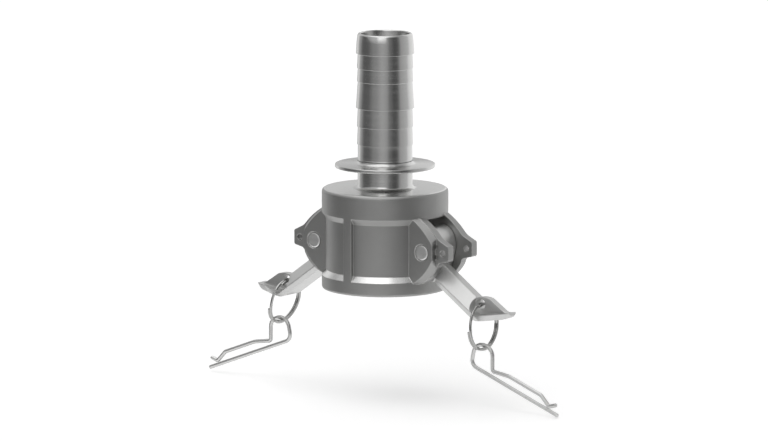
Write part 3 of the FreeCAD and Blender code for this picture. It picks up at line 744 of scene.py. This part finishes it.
def studio_world():
    """Light = wall ramp by compass angle, then ceiling and sweep by
    height, then each soft box where its ramps multiply to one."""
    world = bpy.data.worlds.new("pale_studio")
    world.use_nodes = True
    tree = world.node_tree
    tree.nodes.clear()
    out = add(tree, "OutputWorld")
    way = add(tree, "TexCoord").outputs["Generated"]
    facing = add(tree, "VectorRotate",
                 {"Vector": way, "Angle": math.pi / 2 - VIEW_ANGLE},
                 rotation_type="Z_AXIS")
    parts = add(tree, "SeparateXYZ", {0: facing.outputs["Vector"]})
    compass = add(tree, "Math", {0: parts.outputs["Y"], 1: parts.outputs["X"]},
                  operation="ARCTAN2")
    share = add(tree, "MapRange", {"Value": compass.outputs["Value"],
                                   "From Min": -math.pi,
                                   "From Max": math.pi})
    ramp = add(tree, "ValToRGB", {"Fac": share.outputs["Result"]})
    stops = ramp.color_ramp
    stops.interpolation = "EASE"
    while len(stops.elements) < len(WALLS):
        stops.elements.new(0.5)
    for stop, (angle, light) in zip(stops.elements, WALLS):
        stop.position = (angle + 180) / 360
        stop.color = (light, light, light, 1.0)
    height = add(tree, "MapRange", {"Value": parts.outputs["Z"],
                                    "From Min": CEILING_FROM,
                                    "From Max": CEILING_FULL},
                 interpolation_type="SMOOTHSTEP")
    upper = add(tree, "MixRGB", {0: height.outputs["Result"],
                                 1: ramp.outputs["Color"],
                                 2: (CEILING, CEILING, CEILING, 1.0)})
    depth = add(tree, "MapRange", {"Value": parts.outputs["Z"],
                                   "From Min": SWEEP_FROM,
                                   "From Max": SWEEP_FULL},
                interpolation_type="SMOOTHSTEP")
    sweep = add(tree, "MapRange", {"Value": parts.outputs["X"],
                                   "From Min": SWEEP_TURNS,
                                   "From Max": SWEEP_TURNED,
                                   "To Min": SWEEP_BACK,
                                   "To Max": SWEEP_FRONT})
    sky = add(tree, "MixRGB", {0: depth.outputs["Result"],
                               1: upper.outputs["Color"],
                               2: sweep.outputs["Result"]})
    ahead, side, rise = (parts.outputs[axis] for axis in "XYZ")
    overhead = soft_box(tree, side, rise, *OVERHEAD)
    front = both_of(tree, soft_box(tree, side, rise, *FRONT),
                    ramp_node(tree, ahead, *FRONT_ONLY))
    lit = sky
    for inside, light in ((overhead, OVERHEAD_LIGHT), (front, FRONT_LIGHT)):
        lit = add(tree, "MixRGB", {0: inside, 1: lit.outputs["Color"],
                                   2: (light, light, light, 1.0)})
    kind = add(tree, "LightPath")
    plain = add(tree, "Math", {0: kind.outputs["Is Camera Ray"],
                               1: kind.outputs["Is Transmission Ray"]},
                operation="MAXIMUM")
    seen = add(tree, "MixRGB", {0: plain.outputs["Value"],
                                1: lit.outputs["Color"],
                                2: (1.0, 1.0, 1.0, 1.0)})
    shine = add(tree, "Background", {"Color": seen.outputs["Color"],
                                     "Strength": 1.0})
    tree.links.new(shine.outputs["Background"], out.inputs["Surface"])
    return world


scene.world = studio_world()

# %% [markdown]
# One large soft lamp stands high on the left, a little in front. It gives
# the faint shadow on the floor and keeps the upper faces of the arms bright.
# A sun lamp with a wide angle lights every place alike, so the floor stays
# one white up to the horizon.

# %% Lamp
LAMP_WAY = Vector((-0.020, -0.085, 0.150))
LAMP_SPREAD = math.radians(100)
LAMP_ENERGY = 0.62
lamp_data = bpy.data.lights.new("soft_lamp", "SUN")
lamp_data.angle = LAMP_SPREAD
lamp_data.energy = LAMP_ENERGY
lamp = bpy.data.objects.new("soft_lamp", lamp_data)
lamp.matrix_world = LAMP_WAY.to_track_quat("Z", "Y").to_matrix().to_4x4()
scene.collection.objects.link(lamp)

# %% [markdown]
# The floor lies just under the ends of the clips, the lowest things here.
# It is white sheet, lit a little from within so that it meets the white
# background without a line, and it still takes the object's soft shadow.
# The steel mirrors the sheet only where it lies close. The floor further
# out is left out of mirror rays, which meet the world's own sweep instead.

# %% Floor
GAP_UNDER_MM = 0.4
FLOOR_HEIGHT = min(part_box(n)[0].z for n in nodes) - GAP_UNDER_MM * MM
SHEET_RADIUS, FLOOR_RADIUS = 0.16, 30.0
FLOOR_GLOW = 0.32
RIM_POINTS = 64


def floor_finish():
    """White sheet: diffuse white plus an even glow that lifts it to 1."""
    finish, tree, out = new_finish("white_floor_sheet")
    where = add(tree, "TexCoord").outputs["Object"]
    fibre = add(tree, "TexNoise", {"Vector": where, "Scale": 400.0,
                                   "Detail": 2.0})
    tone = add(tree, "MixRGB", {0: fibre.outputs["Fac"],
                                1: linear("#F0F0F0"), 2: linear("#F4F4F4")})
    paper = add(tree, "BsdfDiffuse", {"Color": tone.outputs["Color"]})
    glow = add(tree, "Emission", {"Color": (1.0, 1.0, 1.0, 1.0),
                                  "Strength": FLOOR_GLOW})
    both = add(tree, "AddShader", {0: paper.outputs["BSDF"],
                                   1: glow.outputs["Emission"]})
    tree.links.new(both.outputs["Shader"], out.inputs["Surface"])
    return finish


def floor_piece(name, points, faces, finish):
    """A flat piece of the stage."""
    mesh = bpy.data.meshes.new(name)
    mesh.from_pydata(points.tolist(), [], faces)
    mesh.materials.append(finish)
    piece = bpy.data.objects.new(name, mesh)
    scene.collection.objects.link(piece)
    return piece


rim_angle = np.linspace(0, 2 * np.pi, RIM_POINTS, endpoint=False)
near = np.stack([SHEET_RADIUS * np.cos(rim_angle),
                 SHEET_RADIUS * np.sin(rim_angle),
                 np.full(RIM_POINTS, FLOOR_HEIGHT)], axis=1)
far = near * (FLOOR_RADIUS / SHEET_RADIUS, FLOOR_RADIUS / SHEET_RADIUS, 1.0)
white_sheet = floor_finish()
floor_piece("floor_sheet", near, [list(range(RIM_POINTS))], white_sheet)
inner = np.arange(RIM_POINTS)
outer = inner + RIM_POINTS
band = np.stack([outer, np.roll(outer, -1), np.roll(inner, -1), inner], 1)
beyond = floor_piece("floor_beyond", np.vstack([near, far]),
                     band.tolist(), white_sheet)
beyond.visible_glossy = False
print("floor at %.1f mm" % (FLOOR_HEIGHT / MM))

# %% [markdown]
# Standard is the view transform that shows a colour as it is written.

# %% Finish
scene.view_settings.view_transform = "Standard"
